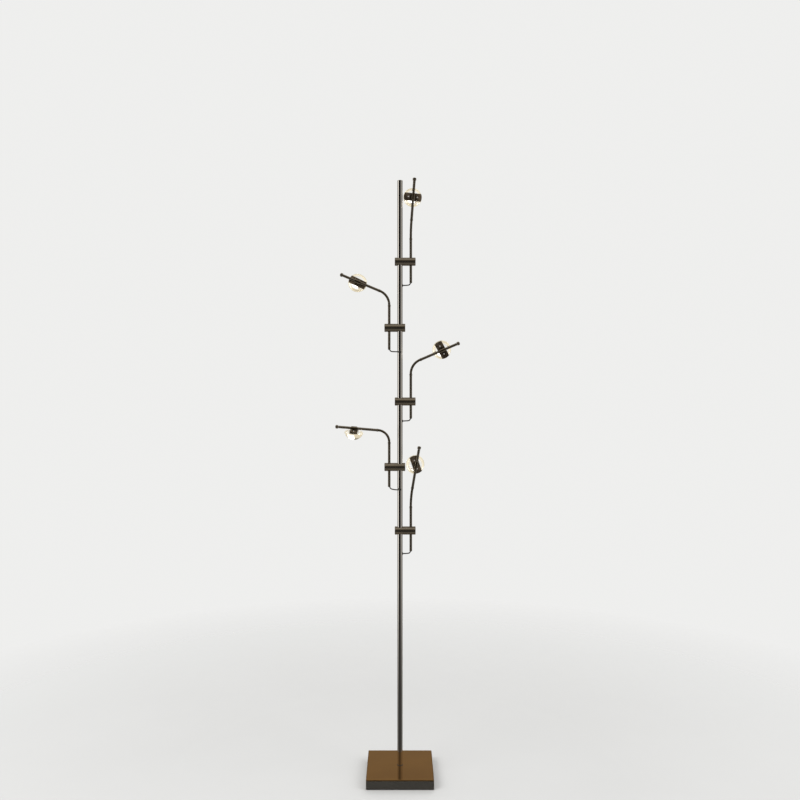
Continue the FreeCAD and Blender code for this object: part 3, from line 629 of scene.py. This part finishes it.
def makeSetScrews():
    pattern = makeSetScrewPattern()
    for arm in arms.values():
        low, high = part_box(f"clamp_{arm.number}")
        height = (low.z + high.z) / 2
        poleEnd, armEnd = (low.x, high.x) if arm.side == right else (high.x, low.x)
        for word, end, way in (("pole", poleEnd, -arm.side), ("arm", armEnd, arm.side)):
            name = f"clamp_{arm.number}_{word}_screw"
            matrix = placeMatrix((end - way * setScrew["recess"], 0, height), (way, 0, 0), up)
            placeCopy(pattern, name, matrix, "stand", "screw_steel", "screwSteel", "clamp_screws")
    dropPattern(pattern)
    print("clamps: ten set screws placed")


makeSetScrews()


# Bracket screws: two small pan heads on the back of each bracket bar

panHead = {"diameter": 0.0044, "height": 0.0013, "apart": 0.027, "slotWidth": 0.0008, "slotLength": 0.0024,
           "slotDepth": 0.0006, "sides": 32, "smoothAngle": 30,
           # the crown's radius and the brim's height are shares of the head's own
           "crownShare": 1.2, "crownEnd": -38, "crownSteps": 6, "brimShare": 0.35}


def makePanHeadPattern():
    # its seat is at the origin and its head points down, towards the rod
    radius, height = panHead["diameter"] / 2, panHead["height"]
    crownRadius = radius * panHead["crownShare"]
    crownCentre = (0, crownRadius - height)
    crown = arcPoints(crownCentre, crownRadius, -90, panHead["crownEnd"], panHead["crownSteps"])
    crown[0] = (0, -height)
    brim = [(radius, -height * panHead["brimShare"]), (radius, 0), (0, 0)]
    pattern = turnProfile("pan_head_pattern", crown + brim, panHead["sides"])
    slot = (panHead["slotLength"], panHead["slotWidth"], 2 * panHead["slotDepth"])
    for turn in (0, 90):
        deselectAll()
        bpy.ops.mesh.primitive_cube_add(size=1, location=(0, 0, -height))
        bpy.ops.transform.resize(value=slot)
        bpy.ops.transform.rotate(value=math.radians(turn), orient_axis="Z", center_override=(0, 0, 0))
        key = nameActive("cross_key")
        applyModifier(pattern, "BOOLEAN", operation="DIFFERENCE", solver="EXACT", object=key)
        dropPattern(key)
    smoothBelow(pattern, panHead["smoothAngle"])
    return pattern


def bracketWay(arm):
    # the bar's long direction, from its furthest corners
    cornerShare = 0.999
    node = frame["nodes"][f"head_{arm.number}_bracket"]
    points = [vertex.co - arm.head for vertex in node.data.vertices]
    flat = [point - arm.lensWay * point.dot(arm.lensWay) for point in points]
    reach = max(point.length for point in flat)
    tips = [point for point in flat if point.length > cornerShare * reach]
    oneEnd = [tip for tip in tips if tip.dot(tips[0]) > 0]
    return sum(oneEnd, Vector()).normalized()


def makeBracketScrews():
    pattern = makePanHeadPattern()
    for arm in arms.values():
        head = f"head_{arm.number}"
        back = arm.depthReach(f"{head}_bracket")[0]
        along = bracketWay(arm)
        for number, side in enumerate((-1, 1), 1):
            seat = arm.head + arm.lensWay * back + along * side * panHead["apart"] / 2
            matrix = placeMatrix(seat, arm.lensWay, along)
            placeCopy(pattern, f"{head}_bracket_screw_{number}", matrix, head, "screw_steel", "screwSteel")
    dropPattern(pattern)
    print("brackets: ten pan head screws placed")


makeBracketScrews()


# Leads: from each arm's lower end into the pole, on the route of the machined leads

lead = {"diameter": 0.0036, "insideArm": 0.009, "drop": 0.006, "level": 0.008, "seat": 0.0026,
        "sideMiddle": 0.018, "frontMiddle": (0.014, 0.017), "frontTurn": 0.015,
        "stepsAlong": 12, "stepsRound": 6, "smoothAngle": 50}


def leadRoute(arm):
    x, foot = arm.foot.x, arm.foot.z
    level = foot - lead["level"]
    start = [(x, 0, foot + lead["insideArm"]), (x, 0, foot - lead["drop"])]
    if arm.side == right:
        return start + [(lead["sideMiddle"], 0, level), (lead["seat"], 0, level)]
    middleX, middleY = lead["frontMiddle"]
    return start + [(-middleX, -middleY, level), (0, -lead["frontTurn"], level), (0, -lead["seat"], level)]


def makeLead(arm):
    name = f"arm_{arm.number}_lead"
    route = leadRoute(arm)
    line = bpy.data.curves.new(name, "CURVE")
    line.dimensions = "3D"
    spline = line.splines.new("NURBS")
    spline.points.add(len(route) - 1)
    for point, place in zip(spline.points, route):
        point.co = (*place, 1)
    spline.order_u = 3
    spline.use_endpoint_u = True
    spline.resolution_u = lead["stepsAlong"]
    line.bevel_depth = lead["diameter"] / 2
    line.bevel_resolution = lead["stepsRound"]
    line.use_fill_caps = True
    piece = bpy.data.objects.new(name, line)
    bpy.context.collection.objects.link(piece)
    selectOnly(piece)
    bpy.ops.object.convert(target="MESH")
    piece = nameActive(name)
    mergeAndTurnOut(piece)
    smoothBelow(piece, lead["smoothAngle"])
    finishPiece(piece, "stand", "lead_cable", "leadSheath", "arm_leads")


grommet = {"radius": 0.0029, "height": 0.0012, "edge": 0.0003, "sides": 24, "smoothAngle": 35}


def makeGrommets():
    inner, outer = lead["diameter"] / 2, grommet["radius"]
    height, edge = grommet["height"], grommet["edge"]
    pattern = turnProfile("grommet_pattern", [
        (inner, 0), (inner, -height + edge), (inner + edge, -height), (outer - edge, -height),
        (outer, -height + edge), (outer, 0), (inner, 0)], grommet["sides"])
    smoothBelow(pattern, grommet["smoothAngle"])
    for arm in arms.values():
        placeCopy(pattern, f"arm_{arm.number}_foot_grommet", Matrix.Translation(arm.foot),
                  f"arm_{arm.number}", "black_plastic", "blackNylon")
    dropPattern(pattern)


for arm in arms.values():
    makeLead(arm)
makeGrommets()
print("leads: five leads and grommets placed")


# Base: the soft pad under it and a thin ring round the pole's foot

basePad = {"cornerRadius": 0.003, "cornerSteps": 6, "edgeRound": 0.0004, "edgeSteps": 3, "sharpAngle": 60,
           "smoothAngle": 40}


def makeBasePad():
    low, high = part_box("base_pad")
    size, middle = high - low, (high + low) / 2

    def rise(edge):
        return abs(edge.verts[0].co.z - edge.verts[1].co.z)

    def isRim(edge):
        sharp = not edge.is_boundary and edge.calc_face_angle(0) > math.radians(basePad["sharpAngle"])
        return sharp and rise(edge) < size.z / 4

    deselectAll()
    bpy.ops.mesh.primitive_cube_add(size=1, location=middle)
    bpy.ops.transform.resize(value=size)
    bpy.ops.object.transform_apply(location=True, rotation=True, scale=True)
    piece = nameActive("base_soft_pad")
    startEditing(piece)
    pickParts(piece, "EDGE", lambda edge: rise(edge) > size.z / 2)  # the four upright corners
    bpy.ops.mesh.bevel(offset=basePad["cornerRadius"], segments=basePad["cornerSteps"])
    pickParts(piece, "FACE", lambda face: abs(face.normal.z) > 0.9)  # the top and the underside
    bpy.ops.mesh.inset(thickness=basePad["edgeRound"] * 2)
    pickParts(piece, "EDGE", isRim)
    bpy.ops.mesh.bevel(offset=basePad["edgeRound"], segments=basePad["edgeSteps"])
    bpy.ops.object.mode_set(mode="OBJECT")
    smoothBelow(piece, basePad["smoothAngle"])
    finishPiece(piece, "stand", "soft_pad", "baseFelt", "base_pad")
    print("base: soft pad shaped")


footRing = {"width": 0.0009, "height": 0.0011, "wallShare": 0.5, "shoulderShares": (0.55, 0.9), "sides": 64,
            "smoothAngle": 60}


def makeFootRing():
    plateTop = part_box("base_top_plate")[1].z
    poleLow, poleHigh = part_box("pole")
    inner = (poleHigh.x - poleLow.x) / 2
    width, height = footRing["width"], footRing["height"]
    across, upwards = footRing["shoulderShares"]
    piece = turnProfile("pole_foot_ring", [
        (inner, 0), (inner + width, 0), (inner + width, height * footRing["wallShare"]),
        (inner + width * across, height * upwards), (inner, height), (inner, 0)], footRing["sides"])
    smoothBelow(piece, footRing["smoothAngle"])
    putInPlace(piece, Matrix.Translation((0, 0, plateTop)))
    finishPiece(piece, "stand", "black_plastic", "blackNylon")
    print("base: foot ring placed")


makeBasePad()
makeFootRing()


# Floor, light and camera

floorLook = {"size": 60, "tint": (0.7, 0.7, 0.69), "cloudScale": 2.5, "cloudShade": 0.985, "roughness": 0.85,
             "cameraFade": (0.7, 2.2), "mirrorFade": (0.05, 0.1)}


def makeFloor():
    # solid near the lamp, where it takes the shadow, and clear further out, where the backdrop shows
    deselectAll()
    bpy.ops.mesh.primitive_plane_add(size=floorLook["size"], location=(0, 0, 0))
    floor = nameActive("studio_floor")
    paint = Paint("floorPaint")
    cloud = paint.noise(floorLook["cloudScale"], detail=5)
    dimmed = tuple(part * floorLook["cloudShade"] for part in floorLook["tint"])
    paint.colour(paint.tint(paint.spread(cloud, 0, 1), floorLook["tint"], dimmed))
    paint.set({"Roughness": floorLook["roughness"]})
    where = paint.add("ShaderNodeTexCoord")
    distance = paint.add("ShaderNodeVectorMath", operation="LENGTH")
    paint.link(where.outputs["Object"], distance.inputs[0])
    rays = paint.add("ShaderNodeLightPath")
    inMirror = paint.add("ShaderNodeMath", operation="MAXIMUM")
    paint.link(rays.outputs["Is Glossy Ray"], inMirror.inputs[0])
    paint.link(rays.outputs["Is Transmission Ray"], inMirror.inputs[1])
    fade = paint.add("ShaderNodeMix")
    paint.link(inMirror.outputs["Value"], fade.inputs["Factor"])
    for name, socket in (("cameraFade", "A"), ("mirrorFade", "B")):
        paint.link(paint.spread(distance.outputs["Value"], 0, 1, *floorLook[name]), fade.inputs[socket])
    clear = paint.add("ShaderNodeBsdfTransparent")
    mix = paint.add("ShaderNodeMixShader")
    paint.link(fade.outputs["Result"], mix.inputs["Fac"])
    paint.link(paint.shader.outputs["BSDF"], mix.inputs[1])
    paint.link(clear.outputs["BSDF"], mix.inputs[2])
    paint.link(mix.outputs["Shader"], paint.nodes["Material Output"].inputs["Surface"])
    floor.data.materials.append(paint.material)


studio = {"background": (0.86, 0.86, 0.85), "ambient": (0.62, 0.62, 0.62)}

# What polished metal mirrors, in bands from below to above. Each has the heights over which it
# takes over from the one under it, and its brightness by the angle in degrees from the front.
mirrorTint = (1.0, 0.965, 0.91)
mirrorBands = {
    "floor": {
        "stops": ((-180, 0.35), (-60, 0.4), (0, 0.35), (60, 0.35), (180, 0.35))},
    "low": {
        "takesOver": (-0.75, -0.5),
        "stops": ((-180, 0.2), (-110, 0.12), (-93, 0.18), (-68, 0.18), (-58, 0.045), (30, 0.045), (60, 0.11),
                  (110, 0.2), (180, 0.2))},
    "level": {
        "takesOver": (-0.38, -0.14),
        "stops": ((-180, 0.86), (-170, 0.8), (-160, 0.16), (-110, 0.12), (-100, 0.7), (-93, 1.45),
                  (-70, 1.45), (-60, 0.006), (12, 0.006), (22, 0.14), (42, 0.24), (56, 0.5), (100, 0.42),
                  (120, 0.2), (160, 0.16), (170, 0.8), (180, 0.86))},
    "raised": {
        "takesOver": (0.14, 0.32),
        "stops": ((-180, 0.44), (-165, 0.4), (-150, 0.12), (-110, 0.12), (-100, 0.7), (-93, 1.45),
                  (-70, 1.45), (-60, 0.006), (12, 0.006), (22, 0.14), (42, 0.24), (56, 0.5), (100, 0.42),
                  (120, 0.2), (150, 0.14), (165, 0.4), (180, 0.44))},
    "warmWall": {
        "takesOver": (0.34, 0.4), "tint": (1.0, 0.84, 0.6),
        "stops": ((-180, 0.44), (-140, 0.4), (-90, 0.55), (-55, 0.22), (10, 0.22), (50, 0.42), (90, 0.5),
                  (140, 0.42), (180, 0.44))},
    "ceiling": {
        "takesOver": (0.6, 0.8),
        "stops": ((-180, 0.5), (-90, 0.7), (0, 0.85), (90, 0.6), (180, 0.5))}}

# What shows through the lenses: the backdrop behind, and darker parts of the studio to the front,
# over it and under it. Each has the stretch of its axis over which it takes over.
glassView = {"frontTint": (0.74, 0.68, 0.58), "behind": (-0.3, 0.2),
             "overTint": (0.52, 0.45, 0.34), "over": (0.12, 0.3),
             "farTint": (0.1, 0.08, 0.06), "above": (0.6, 0.74), "under": (-0.85, -0.45)}


def takeOver(bench, axis, stretch):
    return bench.spread(axis, 0, 1, *stretch, interpolation_type="SMOOTHSTEP")


def angleAround(bench, parts):
    # the way's angle from the front, as a share from 0 to 1 of the full turn
    ahead = bench.add("ShaderNodeMath", operation="MULTIPLY")
    ahead.inputs[1].default_value = -1
    bench.link(parts.outputs["Y"], ahead.inputs[0])
    around = bench.add("ShaderNodeMath", operation="ARCTAN2")
    bench.link(parts.outputs["X"], around.inputs[0])
    bench.link(ahead.outputs["Value"], around.inputs[1])
    return bench.spread(around.outputs["Value"], 0, 1, -math.pi, math.pi)


def rampOf(bench, share, band):
    ramp = bench.add("ShaderNodeValToRGB")
    elements = ramp.color_ramp.elements
    for i, (angle, level) in enumerate(band["stops"]):
        place = (angle + 180) / 360
        if i < 2:  # a new ramp already holds two
            element = elements[i]
            element.position = place
        else:
            element = elements.new(place)
        element.color = (*(part * level for part in band.get("tint", mirrorTint)), 1)
    bench.link(share, ramp.inputs["Fac"])
    return ramp.outputs["Color"]


def mirroredStudio(bench, parts):
    share = angleAround(bench, parts)
    lowest, *others = mirrorBands.values()
    mirrored = rampOf(bench, share, lowest)
    for band in others:
        lift = takeOver(bench, parts.outputs["Z"], band["takesOver"])
        mirrored = bench.tint(lift, mirrored, rampOf(bench, share, band))
    return mirrored


def viewThroughGlass(bench, parts):
    look, depth, height = glassView, parts.outputs["Y"], parts.outputs["Z"]
    seen = bench.tint(takeOver(bench, depth, look["behind"]), look["frontTint"], studio["background"])
    seen = bench.tint(takeOver(bench, height, look["over"]), seen, look["overTint"])
    seen = bench.tint(takeOver(bench, height, look["above"]), seen, look["farTint"])
    return bench.tint(takeOver(bench, height, look["under"]), look["farTint"], seen)


def makeWorld():
    world = bpy.data.worlds.new("studioWorld")
    bpy.context.scene.world = world
    world.use_nodes = True
    bench = NodeBench(world.node_tree)
    bench.nodes.clear()
    where = bench.add("ShaderNodeTexCoord")
    parts = bench.add("ShaderNodeSeparateXYZ")
    bench.link(where.outputs["Generated"], parts.inputs["Vector"])
    rays = bench.add("ShaderNodeLightPath")
    colour = bench.tint(rays.outputs["Is Glossy Ray"], studio["ambient"], mirroredStudio(bench, parts))
    colour = bench.tint(rays.outputs["Is Transmission Ray"], colour, viewThroughGlass(bench, parts))
    colour = bench.tint(rays.outputs["Is Camera Ray"], colour, studio["background"])
    background = bench.add("ShaderNodeBackground")
    bench.link(colour, background.inputs["Color"])
    output = bench.add("ShaderNodeOutputWorld")
    bench.link(background.outputs["Background"], output.inputs["Surface"])


lamps = {
    "keyLight": {"place": (-2.4, -1.8, 3.2), "aim": (0, 0, 0.8), "size": 2.2, "power": 75},
    "fillLight": {"place": (2.6, -1.2, 2.4), "aim": (0, 0, 0.8), "size": 2.0, "power": 30},
    "backLight": {"place": (0.6, 2.6, 3.0), "aim": (0, 0, 0.9), "size": 2.0, "power": 26}}


def makeLamps():
    for name, look in lamps.items():
        deselectAll()
        bpy.ops.object.light_add(type="AREA", location=look["place"])
        lamp = bpy.context.active_object
        lamp.name = name
        lamp.data.size = look["size"]
        lamp.data.energy = look["power"]
        way = Vector(look["aim"]) - Vector(look["place"])
        lamp.rotation_euler = way.to_track_quat("-Z", "Y").to_euler()
        lamp.visible_glossy = False


eye = {"distance": 2.45, "height": 1.1436, "focalPixels": 802, "framePixels": 800, "sensor": 36,
       "clip": (0.05, 100)}


def makeCamera():
    deselectAll()
    place = (0, -eye["distance"], eye["height"])
    bpy.ops.object.camera_add(location=place, rotation=(math.radians(90), 0, 0))
    camera = bpy.context.active_object
    camera.name = "photoCamera"
    camera.data.sensor_width = eye["sensor"]
    camera.data.lens = eye["sensor"] * eye["focalPixels"] / eye["framePixels"]
    camera.data.clip_start, camera.data.clip_end = eye["clip"]
    camera.data.dof.use_dof = False
    bpy.context.scene.camera = camera


makeFloor()
makeWorld()
makeLamps()
makeCamera()
bpy.context.scene.view_settings.view_transform = "Standard"
print("studio: floor, light and camera set")
